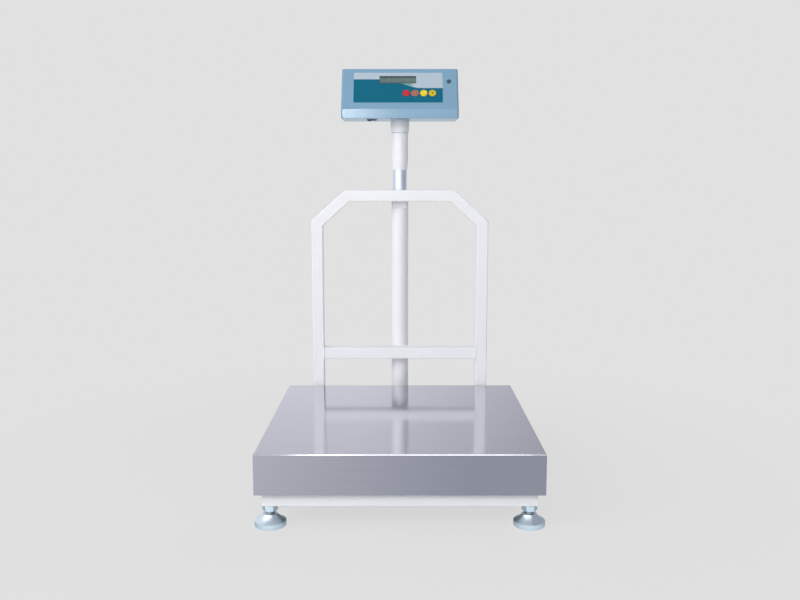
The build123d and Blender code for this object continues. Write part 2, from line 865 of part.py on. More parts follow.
def display_digits():
    """The digit module: a block with one raised cell for each digit."""
    front = window_recess + window_glass + slack + digit_raised
    length = window_width - 2 * slack
    pitch = length / digit_count
    first_x = window_x - (digit_count - 1) / 2 * pitch
    back = on_face(window_x, window_y, board_front)
    module = block(length, window_height - 2 * slack, board_front - front, back)
    return module + [
        block(
            pitch - digit_gap, window_height - 2 * digit_gap, digit_raised,
            on_face(first_x + i * pitch, window_y, front),
        )
        for i in range(digit_count)
    ]


save("display_digits", display_digits())


def front_board():
    """The face's circuit board with a key switch under each key."""
    seat = into_face(overlay_x, overlay_y, board_front)
    board = block(front_board_width, front_board_height, board_sheet, seat)
    for x in key_xs:
        place = on_face(x, key_y, board_front)
        board += block(switch_side, switch_side, switch_height, place)
        board += rod(plunger_radius, switch_height + plunger_height, place)
    return board


save("front_board", front_board())


def key(x):
    """A round key: a cap with a soft rim, a flange behind the face and a stem to its switch."""
    seat = case_wall + fit
    cap = rod(key_radius, seat + overlay_sheet - overlay_recess + key_proud, on_face(x, key_y, seat))
    crown = cap.faces().sort_by(Axis((0, 0, 0), face_plane.z_dir))[-1]
    cap = fillet(crown.edges(), key_proud / 2)
    cap += rod(key_flange_radius, key_flange, into_face(x, key_y, seat))
    stem_end = switch_top - key_travel - slack / 2
    return cap + rod(key_stem_radius, stem_end - seat, into_face(x, key_y, seat))


for number, x in enumerate(key_xs, start=1):
    save(f"key_{number}", key(x))


def status_lamp():
    """A small lamp: a flanged body through the face with a domed lens."""
    lens = rod(lamp_radius, lamp_dome, on_face(lamp_x, lamp_y, -lamp_flange))
    crown = lens.faces().sort_by(Axis((0, 0, 0), face_plane.z_dir))[-1]
    lens = fillet(crown.edges(), lamp_dome_round)
    lens += rod(lamp_flange_radius, lamp_flange, on_face(lamp_x, lamp_y, 0))
    return lens + rod(lamp_radius, lamp_length, into_face(lamp_x, lamp_y, 0))


save("status_lamp", status_lamp())


def main_board():
    """The power and weighing board: capacitors, a heat sink and a plug strip on its sheet."""
    bottom = case_floor + main_board_post
    top = bottom + board_sheet
    seat = Plane((main_board_x, main_board_y, bottom))
    board = block(main_board_width, main_board_depth, board_sheet, seat)
    rear_row = main_board_y + main_board_depth / 4
    for side in (-1, 1):
        place = Plane((main_board_x + side * capacitor_pitch / 2, rear_row, top))
        board += rod(capacitor_radius, capacitor_height, place)
    for rib in range(heat_sink_ribs):
        rib_x = main_board_x - (heat_sink_ribs - 1 - 2 * rib) * board_sheet
        place = Plane((rib_x, main_board_y - heat_sink_depth / 3, top))
        board += block(board_sheet, heat_sink_depth, capacitor_height, place)
    strip_y = main_board_y - main_board_depth / 2 + switch_side
    strip = Plane((main_board_x, strip_y, top))
    return board + block(strip_width, switch_side, 2 * switch_height, strip)


save("main_board", main_board())

# Battery and transformer, side by side along the back wall
battery_top = case_wall + battery_height + battery_terminal
battery_back = case_back - case_wall - back_slope * battery_top - fit


def battery():
    """A sealed battery with two blade terminals."""
    plane = Plane((battery_x, battery_back - battery_depth / 2, case_floor))
    cell = block(battery_width, battery_depth, battery_height, plane)
    cell = fillet(cell.edges().filter_by(Axis.Z), moulding_round)
    terminal_x = battery_width / 2 - battery_terminal_inset
    for side in (-1, 1):
        place = Plane((battery_x + side * terminal_x, plane.origin.Y, case_floor + battery_height))
        cell += block(battery_terminal, board_sheet / 2, battery_terminal, place)
    return cell


def transformer():
    """A laminated core with its coil, which is narrower but stands out in front and behind."""
    plane = Plane((transformer_x, battery_back - transformer_depth / 2, case_floor))
    core = block(transformer_width, transformer_depth * core_share, transformer_height, plane)
    coil_height = transformer_height * core_share
    coil_foot = plane.offset((transformer_height - coil_height) / 2)
    coil = block(transformer_width * core_share, transformer_depth, coil_height, coil_foot)
    return core + fillet(coil.edges().filter_by(Axis.Z), moulding_round)


save("battery", battery())
save("transformer", transformer())

# Power switch: a framed rocker under the case, resting with one end down
rocker_face = Plane(rocker_plane.origin, x_dir=(1, 0, 0), z_dir=(0, 1, 0))
half_width, half_depth = rocker_width / 2, rocker_depth / 2
half_throw = math.radians(rocker_throw / 2)
end_proud = rocker_proud + half_width * math.tan(half_throw)
rocker_axle = rod(
    rocker_axle_radius, 2 * (half_depth + bolt_slack + rocker_axle_bite),
    rocker_face.offset(-half_depth - bolt_slack - rocker_axle_bite),
)


def rocker_frame():
    """The switch's body with its bezel and the well that the rocker lies in."""
    body = block(rocker_body_width, rocker_body_depth, rocker_body_height, rocker_plane)
    rim = rocker_plane.offset(-rocker_bezel)
    body += block(rocker_bezel_width, rocker_bezel_depth, rocker_bezel, rim)
    well = block(
        rocker_width + 3 * bolt_slack, rocker_depth + 2 * bolt_slack,
        rocker_bezel + rocker_root + end_proud, rim,
    )
    bearing = rod(
        rocker_axle_radius + fit, 2 * (half_depth + 2 * bolt_slack + rocker_axle_bite),
        rocker_face.offset(-half_depth - 2 * bolt_slack - rocker_axle_bite),
    )
    return body - well - bearing


def rocker():
    """The rocker: a shallow valley between two raised ends, on a cross axle."""
    outline = [
        (-half_width, -rocker_root), (-half_width, end_proud), (0, rocker_proud),
        (half_width, end_proud), (half_width, -rocker_root),
    ]
    return prism(outline, rocker_face, half_depth) + rocker_axle


tilted = Pos(*rocker_plane.origin) * Rot(0, -rocker_throw / 2, 0) * Pos(*-rocker_plane.origin)
save("rocker_frame", rocker_frame())
save("rocker", tilted * rocker())


def cable_grommet():
    """A rubber ring in the back wall, lipped on both sides."""
    outline = [
        (grommet_bore_radius, -case_wall - grommet_lip),
        (grommet_radius, -case_wall - grommet_lip),
        (grommet_radius, -case_wall),
        (grommet_neck_radius, -case_wall),
        (grommet_neck_radius, 0),
        (grommet_radius, 0),
        (grommet_radius - grommet_lip / 2, grommet_lip),
        (grommet_bore_radius, grommet_lip),
    ]
    ring = revolve(Plane.XZ * make_face(Polyline(*outline, close=True)), Axis.Z)
    return grommet_plane.location * ring


save("cable_grommet", cable_grommet())
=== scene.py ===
# %% [markdown]
# # A platform scale, dressed for its portrait
# The frame brings every construction piece of the scale at its real size: the pan, the
# welded tubes, the feet, the mast and the indicator. This lesson gives each of them a finish
# that starts from the real material, adds the small forms that a workshop leaves behind, such
# as weld beads and threads, and sets up the camera and the light.

# %% Load the frame
import math

import bpy
from mathutils import Matrix, Vector


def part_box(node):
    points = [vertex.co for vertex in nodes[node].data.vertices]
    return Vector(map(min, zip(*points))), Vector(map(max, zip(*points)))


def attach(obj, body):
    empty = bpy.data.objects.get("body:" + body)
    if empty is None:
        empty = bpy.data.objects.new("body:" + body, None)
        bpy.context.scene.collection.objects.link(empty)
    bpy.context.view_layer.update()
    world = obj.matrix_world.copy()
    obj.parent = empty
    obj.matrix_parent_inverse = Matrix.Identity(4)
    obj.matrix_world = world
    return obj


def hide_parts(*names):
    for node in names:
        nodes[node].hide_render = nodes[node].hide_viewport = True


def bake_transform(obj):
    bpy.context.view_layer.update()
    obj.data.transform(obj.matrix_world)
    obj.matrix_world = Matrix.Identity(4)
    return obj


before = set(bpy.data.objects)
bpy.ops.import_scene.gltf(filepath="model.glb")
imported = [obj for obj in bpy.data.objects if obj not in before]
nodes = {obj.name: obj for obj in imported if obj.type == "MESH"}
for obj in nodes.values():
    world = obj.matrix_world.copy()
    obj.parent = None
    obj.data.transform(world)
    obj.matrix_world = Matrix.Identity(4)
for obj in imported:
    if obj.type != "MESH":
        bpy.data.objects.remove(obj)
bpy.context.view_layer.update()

MM = 0.001

# %% [markdown]
# ## Colours
# Colours are picked as sRGB hex values, the way a paint chart gives them, while the renderer
# works in linear light. One function converts them, so that no material holds raw numbers.

# %% Colours
def channel(value):
    """One sRGB channel from 0 to 1, as linear light."""
    return value / 12.92 if value <= 0.04045 else ((value + 0.055) / 1.055) ** 2.4


def linear(code):
    """A hex colour such as '#8CACC9' as linear RGBA."""
    parts = [int(code[i:i + 2], 16) / 255 for i in (1, 3, 5)]
    return (*[channel(part) for part in parts], 1.0)


print("a pale grey in linear light", [round(c, 3) for c in linear("#E1E1E1")])

# %% [markdown]
# ## Nodes
# Materials and geometry trees are both built from nodes, so one small function adds a node of any
# kind with its settings and links. An input may be a number, a socket or another node, whose
# first output is then linked. Three kinds come back all the time. Map Range turns one span of
# numbers into another. Mix blends two colours, which it keeps at inputs 6 and 7. Bump turns a
# pattern into relief, whose depth is its distance.

# %% Nodes
def add(tree, kind, inputs=None, **settings):
    """Add a node, set its properties, and set or link its inputs by name or number."""
    node = tree.nodes.new(kind)
    for name, value in settings.items():
        setattr(node, name, value)
    for name, value in (inputs or {}).items():
        if isinstance(value, bpy.types.Node):
            value = next(socket for socket in value.outputs if not socket.is_unavailable)
        if isinstance(value, bpy.types.NodeSocket):
            tree.links.new(value, node.inputs[name])
        else:
            node.inputs[name].default_value = value
    return node


def start_material(name):
    """An empty node material, its tree, and the Object coordinates in metres."""
    material = bpy.data.materials.new(name)
    material.use_nodes = True
    tree = material.node_tree
    tree.nodes.clear()
    place = add(tree, "ShaderNodeTexCoord").outputs["Object"]
    return material, tree, place


def end_material(tree, **sockets):
    """The shader and the output; underscores in socket names stand for spaces."""
    inputs = {name.replace("_", " "): value for name, value in sockets.items()}
    shader = add(tree, "ShaderNodeBsdfPrincipled", inputs)
    add(tree, "ShaderNodeOutputMaterial", {"Surface": shader})


print("node helpers ready")

# %% [markdown]
# ## Patterns at a real size
# Scratches, orange peel, pits and dust are all random spots, and only their size, their depth
# and their stretch tell them apart. Noise at a scale of 1 has spots about one unit across, so a
# Mapping node scales the coordinates by one over the real size.

# %% Patterns at a real size
def pattern(tree, place, size_mm, detail=2.0, rough=0.5, stretch=(1, 1, 1)):
    """Random spots about size_mm across, or stretched times that along an axis."""
    scale = [1 / (size_mm * MM * along) for along in stretch]
    spread = add(tree, "ShaderNodeMapping", {"Vector": place, "Scale": scale})
    return add(tree, "ShaderNodeTexNoise", {
        "Vector": spread, "Scale": 1.0, "Detail": detail, "Roughness": rough,
    })


print("spots of 2 mm need a scale of", round(1 / (2 * MM)))

# %% [markdown]
# ## Brushed stainless sheet
# The pan is folded from 1.5 mm stainless sheet with a satin finish. Rolling and brushing leave
# fine scratches from side to side, a few tenths of a millimetre apart, so reflections stay
# readable across the grain and smear along the other way. The scratches are spots stretched
# eighty times along X, and along Z on the two side skirts, where the fold turns them upright.
# They are drawn three times too coarse, or they would vanish at this distance, and broader
# streaks of the same kind shade the colour. Two slower patterns let the roughness drift, one
# with the wear of goods that slide over the sheet and one with handling.

# %% Brushed stainless sheet
SCRATCH_MM, STREAK_MM, WEAR_MM, HANDLING_MM = 0.9, 2.0, 14.0, 90.0
SCRATCH_STRETCH = 80
FACES_SIDEWAYS = 0.7


def scratches(tree, place, size_mm, on_side):
    """Spots stretched along X, or along Z on a face that looks sideways."""
    level, upright = (
        pattern(tree, place, size_mm, detail=3.0, stretch=stretch)
        for stretch in ((SCRATCH_STRETCH, 1, 1), (1, 1, SCRATCH_STRETCH))
    )
    return add(tree, "ShaderNodeMapRange", {"Value": on_side, "To Min": level, "To Max": upright})


def brushed_stainless():
    """Satin steel, with scratches in its relief, streaks in its colour and wear in its gloss."""
    material, tree, place = start_material("brushed_stainless")
    facing = add(tree, "ShaderNodeTexCoord").outputs["Normal"]
    sideways = add(tree, "ShaderNodeSeparateXYZ", {0: facing}).outputs["X"]
    sideways = add(tree, "ShaderNodeMath", {0: sideways}, operation="ABSOLUTE")
    on_side = add(tree, "ShaderNodeMath", {
        0: sideways, 1: FACES_SIDEWAYS,
    }, operation="GREATER_THAN")
    grain, streak = (scratches(tree, place, size, on_side) for size in (SCRATCH_MM, STREAK_MM))
    shade = add(tree, "ShaderNodeMapRange", {"Value": streak, "From Min": 0.3, "From Max": 0.7})
    handling = pattern(tree, place, HANDLING_MM, detail=3.0, rough=0.6)
    smooth = add(tree, "ShaderNodeMapRange", {"Value": handling, "To Min": 0.08, "To Max": 0.12})
    wear = pattern(tree, place, WEAR_MM, detail=4.0, rough=0.65, stretch=(4, 1, 1))
    worn = add(tree, "ShaderNodeMapRange", {"Value": wear, "To Min": -0.015, "To Max": 0.02})
    end_material(
        tree, Metallic=1.0,
        Base_Color=add(tree, "ShaderNodeMix", {
            0: shade, 6: linear("#C8C8D0"), 7: linear("#CECED5"),
        }, data_type="RGBA"),
        Roughness=add(tree, "ShaderNodeMath", {0: smooth, 1: worn}, operation="ADD"),
        Normal=add(tree, "ShaderNodeBump", {
            "Height": grain, "Distance": 0.01 * MM, "Strength": 0.4,
        }),
    )
    return material


stainless = brushed_stainless()
print("made", stainless.name, "with", len(stainless.node_tree.nodes), "nodes")

# %% [markdown]
# ## White powder coat
# All welded tubes are sprayed with white powder and baked. The melt leaves a faint orange peel,
# waves about 2 mm across and a few hundredths deep, under a fairly glossy skin. The white is a
# little blue. Dust settles a shade of grey into it, which a slow pattern stands for.

# %% White powder coat
PEEL_MM, PEEL_DEPTH_MM, DUST_MM = 2.0, 0.03, 60.0


def powder_coat(name, light, dark, rough):
    """Baked powder with orange peel, shaded and dulled where the dust lies."""
    material, tree, place = start_material(name)
    peel = pattern(tree, place, PEEL_MM, detail=1.0)
    dust = pattern(tree, place, DUST_MM, detail=4.0)
    end_material(
        tree,
        Base_Color=add(tree, "ShaderNodeMix", {
            0: dust, 6: linear(light), 7: linear(dark),
        }, data_type="RGBA"),
        Roughness=add(tree, "ShaderNodeMapRange", {
            "Value": dust, "To Min": rough - 0.04, "To Max": rough + 0.06,
        }),
        Normal=add(tree, "ShaderNodeBump", {
            "Height": peel, "Distance": PEEL_DEPTH_MM * MM, "Strength": 0.5,
        }),
    )
    return material


white_coat = powder_coat("white_powder_coat", "#F3F3F6", "#EBECF0", rough=0.34)
print("made", white_coat.name, "with", len(white_coat.node_tree.nodes), "nodes")

# %% [markdown]
# ## Plated and milled metal
# The foot pads and lock nuts are satin chrome plated over a blasted casting: pale, a little blue,
# and so finely matt that only soft light and dark areas remain of what they mirror. Bolts and
# studs are zinc plated, which is greyer and mottled by the bath. The inner mast is a drawn steel
# tube with a satin plating, streaked along its length. The load cell is milled aluminium, and
# the transformer's iron sheets are varnished. One function makes all of them, since they differ
# only in colour, smoothness and the size and stretch of their mottling.

# %% Plated and milled metal
def bare_metal(name, light, dark, smooth, dull, mottle_mm, stretch=(1, 1, 1)):
    """Metal whose colour and gloss are mottled by spots of mottle_mm."""
    material, tree, place = start_material(name)
    mottle = pattern(tree, place, mottle_mm, detail=4.0, rough=0.6, stretch=stretch)
    end_material(
        tree, Metallic=1.0,
        Base_Color=add(tree, "ShaderNodeMix", {
            0: mottle, 6: linear(light), 7: linear(dark),
        }, data_type="RGBA"),
        Roughness=add(tree, "ShaderNodeMapRange", {
            "Value": mottle, "To Min": smooth, "To Max": dull,
        }),
        Normal=add(tree, "ShaderNodeBump", {
            "Height": mottle, "Distance": 0.01 * MM, "Strength": 0.3,
        }),
    )
    return material


chrome = bare_metal(
    "satin_chrome_plate", "#EEFAFF", "#E6F6FF", smooth=0.36, dull=0.42, mottle_mm=9.0,
)
zinc = bare_metal("zinc_plate", "#C4C8CC", "#9EA3A8", smooth=0.24, dull=0.42, mottle_mm=3.0)
satin_tube = bare_metal(
    "satin_steel_tube", "#E2E8F1", "#D8E0EB", smooth=0.46, dull=0.54, mottle_mm=2.0,
    stretch=(1, 1, 60),
)
milled = bare_metal(
    "milled_aluminium", "#CACBCC", "#B4B6B8", smooth=0.28, dull=0.4, mottle_mm=1.0,
    stretch=(30, 1, 1),
)
varnished = bare_metal(
    "varnished_laminations", "#5A5450", "#3C3835", smooth=0.35, dull=0.6, mottle_mm=1.0,
    stretch=(1, 1, 0.3),
)
print("metals", [metal.name for metal in (chrome, zinc, satin_tube, milled, varnished)])

# %% [markdown]
# ## Moulded plastic
# The indicator's case is moulded ABS. Its mould was spark eroded, which leaves a fine matt
# texture of pits about 0.3 mm across, drawn at 0.8 mm here so that it shows. The neck and the
# collar come from polished moulds and shine more. Nylon, rubber, the lamp's lens and the boards'
# green mask are pitted skins too, with other colours, sizes and depths.

# %% Moulded plastic
TONE_MM = 45.0


def moulded(name, light, dark, rough, pit_mm, pit_depth_mm):
    """Moulded plastic with pits in its skin and a slow drift of tone."""
    material, tree, place = start_material(name)
    pits = pattern(tree, place, pit_mm, rough=0.7)
    tone = pattern(tree, place, TONE_MM, detail=3.0)
    end_material(
        tree,
        Base_Color=add(tree, "ShaderNodeMix", {
            0: tone, 6: linear(light), 7: linear(dark),
        }, data_type="RGBA"),
        Roughness=add(tree, "ShaderNodeMapRange", {
            "Value": pits, "To Min": rough - 0.05, "To Max": rough + 0.05,
        }),
        Normal=add(tree, "ShaderNodeBump", {
            "Height": pits, "Distance": pit_depth_mm * MM, "Strength": 0.6,
        }),
    )
    return material


plastics = {
    name: moulded(name, light, dark, rough=rough, pit_mm=pit, pit_depth_mm=depth)
    for name, light, dark, rough, pit, depth in (
        ("white_abs", "#F5F4F7", "#EDEDF2", 0.3, 3.0, 0.01),
        ("blue_abs_spark_textured", "#82A8C2", "#7BA1BC", 0.2, 0.8, 0.006),
        ("black_abs", "#1C1D20", "#141517", 0.35, 0.8, 0.02),
        ("grey_nylon", "#8A8D90", "#7C7F83", 0.5, 1.5, 0.02),
        ("black_rubber", "#151515", "#202020", 0.75, 1.2, 0.05),
        ("dark_lamp_lens", "#3E5664", "#38505E", 0.2, 4.0, 0.01),
        ("green_solder_mask", "#0F5A36", "#0C4A2C", 0.3, 5.0, 0.05),
        ("unlit_diffuser", "#A9B6B1", "#A1AEA9", 0.4, 1.0, 0.01),
    )
}
print("plastics", list(plastics))

# %% [markdown]
# ## Finishes of the carried-over pieces
# Each construction piece gets the finish of the real one. The list is grouped by finish, as a
# workshop's order sheet would be, so that a piece is easy to find and to move to another one.
# The film, the keys and the display follow later, because their finishes are printed.

# %% Finishes of the carried-over pieces
corners = ("fl", "fr", "rl", "rr")
finishes = {
    stainless: ["pan"],
    white_coat: [
        "base_side_tubes", "base_end_tubes", "base_centre_tubes", "deck_side_tubes",
        "deck_end_tubes", "deck_centre_tubes", "rail_posts", "rail_corner_tubes", "rail_top_bar",
        "rail_crossbar", "upright_spacers", "mast_tube", "mast_saddles", "mast_foot_block",
        "mast_clamp_nut",
    ],
    chrome: ["foot_lock_nuts"] + [f"foot_pad_{corner}" for corner in corners],
    zinc: [
        "load_cell_base_plate", "load_cell_deck_plate", "load_cell_lower_screws",
        "load_cell_upper_screws", "overload_stop_screws", "overload_stop_nuts", "foot_bosses",
        "upright_bolts", "mast_clamp_screw", "collar_screws", "case_screws",
    ] + [f"foot_stud_{corner}" for corner in corners],
    milled: ["load_cell"],
    satin_tube: ["inner_mast_tube"],
    varnished: ["transformer"],
    plastics["white_abs"]: ["neck", "collar"],
    plastics["blue_abs_spark_textured"]: ["case_front", "case_rear"],
    plastics["black_abs"]: ["rocker_frame", "rocker", "battery"],
    plastics["grey_nylon"]: ["upright_plugs", "mast_bush"],
    plastics["black_rubber"]: ["deck_pads", "cable_grommet"],
    plastics["dark_lamp_lens"]: ["status_lamp"],
    plastics["green_solder_mask"]: ["front_board", "main_board"],
}


def coat(node, material):
    """Give a construction piece one material in place of what it came with."""
    nodes[node].data.materials.clear()
    nodes[node].data.materials.append(material)


for material, members in finishes.items():
    for member in members:
        coat(member, material)
print("finished nodes", sum(len(members) for members in finishes.values()))

# %% [markdown]
# ## Millimetres on the slanted face
# The overlay, the keys and the display all lie on the case's face, which leans back by thirty
# degrees. What is printed there is drawn in two values, as on the maker's artwork: one runs to
# the right along X, and one runs up the slope, both in millimetres from the face's middle.

# %% Millimetres on the slanted face
FACE_SLOPE = math.radians(60)
FACE_MIDDLE = Vector((0, 216, 790.432)) * MM
FACE_RIGHT = Vector((1, 0, 0))
FACE_UP = Vector((0, math.cos(FACE_SLOPE), math.sin(FACE_SLOPE)))
FACE_OUT = Vector((0, -math.sin(FACE_SLOPE), math.cos(FACE_SLOPE)))


def face_millimetres(tree, place):
    """How far right and how far up the slanted face a point lies from its middle, in mm."""
    offset = add(tree, "ShaderNodeVectorMath", {0: place, 1: -FACE_MIDDLE}, operation="ADD")
    return [
        add(tree, "ShaderNodeVectorMath", {0: offset, 1: axis / MM}, operation="DOT_PRODUCT")
        for axis in (FACE_RIGHT, FACE_UP)
    ]


def off_centre(tree, value, middle):
    """How far a value lies from its middle, to either side."""
    offset = add(tree, "ShaderNodeMath", {0: value, 1: middle}, operation="SUBTRACT")
    return add(tree, "ShaderNodeMath", {0: offset}, operation="ABSOLUTE")


print("face middle", [round(c, 4) for c in FACE_MIDDLE])

# %% [markdown]
# ## The printed overlay
# The indicator's front film is printed from behind in two tones: a deep teal that carries the
# keys, and a pale band above it whose lower edge sweeps down from the left. The printed edge is
# an S-shaped step between two heights. A green haze lies in the band just over that edge, and
# fades upwards and to both sides. A satin coat lies over the print, as on real film.

# %% The printed overlay
EDGE_LEFT, EDGE_RIGHT, EDGE_HIGH, EDGE_LOW, EDGE_SOFT = -34.0, 45.0, 24.2, 1.5, 0.3
HAZE_BOTTOM, HAZE_TOP, HAZE_MIDDLE, HAZE_CORE, HAZE_REACH = 4.0, 17.0, 12.0, 8.0, 22.0
HAZE_STRENGTH = 0.8
CLOUD_MM, SATIN_MM, FILM_WAVE_MM = 30.0, 1.0, 0.7


def cloudy(tree, place, first, second):
    """A printed tone that drifts slowly between two colours."""
    cloud = pattern(tree, place, CLOUD_MM)
    return add(tree, "ShaderNodeMix", {
        0: cloud, 6: linear(first), 7: linear(second),
    }, data_type="RGBA")


def printed_film():
    """The film's two tones, the edge between them and the green haze."""
    material, tree, place = start_material("printed_film")
    right, up = face_millimetres(tree, place)
    edge = add(tree, "ShaderNodeMapRange", {
        "Value": right, "From Min": EDGE_LEFT, "From Max": EDGE_RIGHT,
        "To Min": EDGE_HIGH, "To Max": EDGE_LOW,
    }, interpolation_type="SMOOTHSTEP")
    over_edge = add(tree, "ShaderNodeMath", {0: up, 1: edge}, operation="SUBTRACT")
    in_band = add(tree, "ShaderNodeMapRange", {
        "Value": over_edge, "From Min": -EDGE_SOFT, "From Max": EDGE_SOFT,
    })
    fading_up = add(tree, "ShaderNodeMapRange", {
        "Value": over_edge, "From Min": HAZE_BOTTOM, "From Max": HAZE_TOP,
        "To Min": 1.0, "To Max": 0.0,
    }, interpolation_type="SMOOTHSTEP")
    fading_aside = add(tree, "ShaderNodeMapRange", {
        "Value": off_centre(tree, right, HAZE_MIDDLE),
        "From Min": HAZE_CORE, "From Max": HAZE_REACH, "To Min": HAZE_STRENGTH, "To Max": 0.0,
    }, interpolation_type="SMOOTHSTEP")
    haze = add(tree, "ShaderNodeMath", {0: fading_up, 1: fading_aside}, operation="MULTIPLY")
    band = add(tree, "ShaderNodeMix", {
        0: haze, 6: cloudy(tree, place, "#B8C6D3", "#B2C1CE"), 7: linear("#5F9C8C"),
    }, data_type="RGBA")
    end_material(
        tree, Specular_IOR_Level=0.2,
        Base_Color=add(tree, "ShaderNodeMix", {
            0: in_band, 6: cloudy(tree, place, "#00627F", "#04687F"), 7: band,
        }, data_type="RGBA"),
        Roughness=add(tree, "ShaderNodeMapRange", {
            "Value": pattern(tree, place, SATIN_MM), "To Min": 0.3, "To Max": 0.38,
        }),
        Normal=add(tree, "ShaderNodeBump", {
            "Height": pattern(tree, place, FILM_WAVE_MM, detail=1.0), "Distance": 0.01 * MM,
            "Strength": 0.4,
        }),
    )
    return material


coat("overlay", printed_film())
print("the band's edge falls by", EDGE_HIGH - EDGE_LOW, "mm")

# %% [markdown]
# ## Marks on the keys
# Two of the keys carry a plain mark printed on the crown, a ring and a cross. The third mark, a
# pale bar across the crown of the yellow key, is a painted highlight. A mark could be a picture
# wrapped on the cap, but these are so plain that one distance gives each of them: how far a point
# lies from the mark's middle line. The crown's middle is found from the highest points of the cap
# along the face's direction.

# %% Marks on the keys
RING_RADIUS, BAR_HALF, MARK_FULL, MARK_END = 4.3, 2.8, 0.6, 0.8
NO_MARK = 9.0
CROWN_DEPTH_MM = 0.05


def crown_middle(node):
    """How far right and up the face the middle of a key's crown lies, in mm."""
    points = [vertex.co for vertex in nodes[node].data.vertices]
    top = max(point.dot(FACE_OUT) for point in points)
    crown = [point for point in points if top - point.dot(FACE_OUT) < CROWN_DEPTH_MM * MM]
    low, high = (
        Vector([side(point[i] for point in crown) for i in range(3)]) for side in (min, max)
    )
    middle = (low + high) / 2 - FACE_MIDDLE
    return middle.x / MM, middle.dot(FACE_UP) / MM


def mark_distance(tree, mark, across, along):
    """How far a point lies from the middle line of a mark, in mm."""
    if mark == "none":
        return NO_MARK
    if mark == "ring":
        flat = add(tree, "ShaderNodeCombineXYZ", {"X": across, "Y": along})
        radius = add(tree, "ShaderNodeVectorMath", {0: flat}, operation="LENGTH")
        return off_centre(tree, radius, RING_RADIUS)
    level, upright = (
        add(tree, "ShaderNodeMath", {
            0: add(tree, "ShaderNodeMath", {0: long, 1: BAR_HALF}, operation="SUBTRACT"), 1: thin,
        }, operation="MAXIMUM")
        for long, thin in ((across, along), (along, across))
    )
    if mark == "bar":
        return level
    return add(tree, "ShaderNodeMath", {0: level, 1: upright}, operation="MINIMUM")


key_points = {node: crown_middle(node) for node in ("key_1", "key_2", "key_3", "key_4")}
for node, point in key_points.items():
    print(node, "crown at", [round(value, 1) for value in point], "mm on the face")

# %% [markdown]
# ## The keys
# Each key is a domed cap of glossy plastic in its own colour, rubbed a little dull in spots by
# fingertips. The ink and the painted highlight fade over a fifth of a millimetre, as a pad print
# does at its edge.

# %% The keys
RUBBED_MM, CAP_WAVE_MM = 6.0, 2.0


def cap_with_mark(node, ground, ink_and_highlight, mark):
    """A glossy cap with a mark, which is one of none, ring, bar and cross; the bar is a painted
    highlight.
    """
    material, tree, place = start_material(f"{node}_cap")
    across, along = (
        off_centre(tree, value, middle)
        for value, middle in zip(face_millimetres(tree, place), key_points[node])
    )
    mark_share = add(tree, "ShaderNodeMapRange", {
        "Value": mark_distance(tree, mark, across, along),
        "From Min": MARK_FULL, "From Max": MARK_END, "To Min": 1.0, "To Max": 0.0,
    })
    end_material(
        tree,
        Base_Color=add(tree, "ShaderNodeMix", {
            0: mark_share, 6: linear(ground), 7: linear(ink_and_highlight),
        }, data_type="RGBA"),
        Roughness=add(tree, "ShaderNodeMapRange", {
            "Value": pattern(tree, place, RUBBED_MM, detail=3.0), "To Min": 0.24, "To Max": 0.34,
        }),
        Normal=add(tree, "ShaderNodeBump", {
            "Height": pattern(tree, place, CAP_WAVE_MM), "Distance": 0.01 * MM, "Strength": 0.4,
        }),
    )
    return material


caps = {
    "key_1": ("#C4222F", "#C4222F", "none"),
    "key_2": ("#B57463", "#8C3F38", "ring"),
    # The pale bar on key_3 is a painted highlight across its crown.
    "key_3": ("#E8D015", "#F3EC9C", "bar"),
    "key_4": ("#D8BC14", "#7E7A22", "cross"),
}
for node, (ground, ink_and_highlight, mark) in caps.items():
    coat(node, cap_with_mark(node, ground, ink_and_highlight, mark))
    print(node, "cap", ground, "mark", mark)

# %% [markdown]
# ## The display's pane
# A smoked acrylic pane lies over the digit module. It lets through most of the light and tints it
# grey-green, so the unlit digits stay just readable behind it. Full transmission with the IOR of
# acrylic gives the real bend and gleam, where a mix with plain transparency would look flat.

# %% The display's pane
SMOKE_MM = 8.0
pane_low, pane_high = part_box("display_window")
pane_middle = (pane_low + pane_high) / 2 - FACE_MIDDLE
window_x, window_y = pane_middle.x / MM, pane_middle.dot(FACE_UP) / MM


def smoked_pane():
    """Clear acrylic with a faint smoke and a few rubbed spots."""
    material, tree, place = start_material("smoked_acrylic")
    haze = pattern(tree, place, SMOKE_MM, detail=3.0)
    end_material(
        tree, IOR=1.49, Transmission_Weight=1.0,
        Base_Color=add(tree, "ShaderNodeMix", {
            0: haze, 6: linear("#E4EEEC"), 7: linear("#DEE8E6"),
        }, data_type="RGBA"),
        Roughness=add(tree, "ShaderNodeMapRange", {
            "Value": haze, "To Min": 0.02, "To Max": 0.08,
        }),
    )
    return material


coat("display_window", smoked_pane())
print("window middle on the face", round(window_x, 2), round(window_y, 2), "mm")

# %% [markdown]
# ## The digit module
# The module behind the pane is cast in epoxy. It darkens towards its upper and lower edges, where
# the pane's frame keeps the light off, and turns greener at the right end. Both changes are plain
# distances on the face, so two ranges set how strongly each tone covers the last one.

# %% The digit module
EPOXY_MM = 4.0


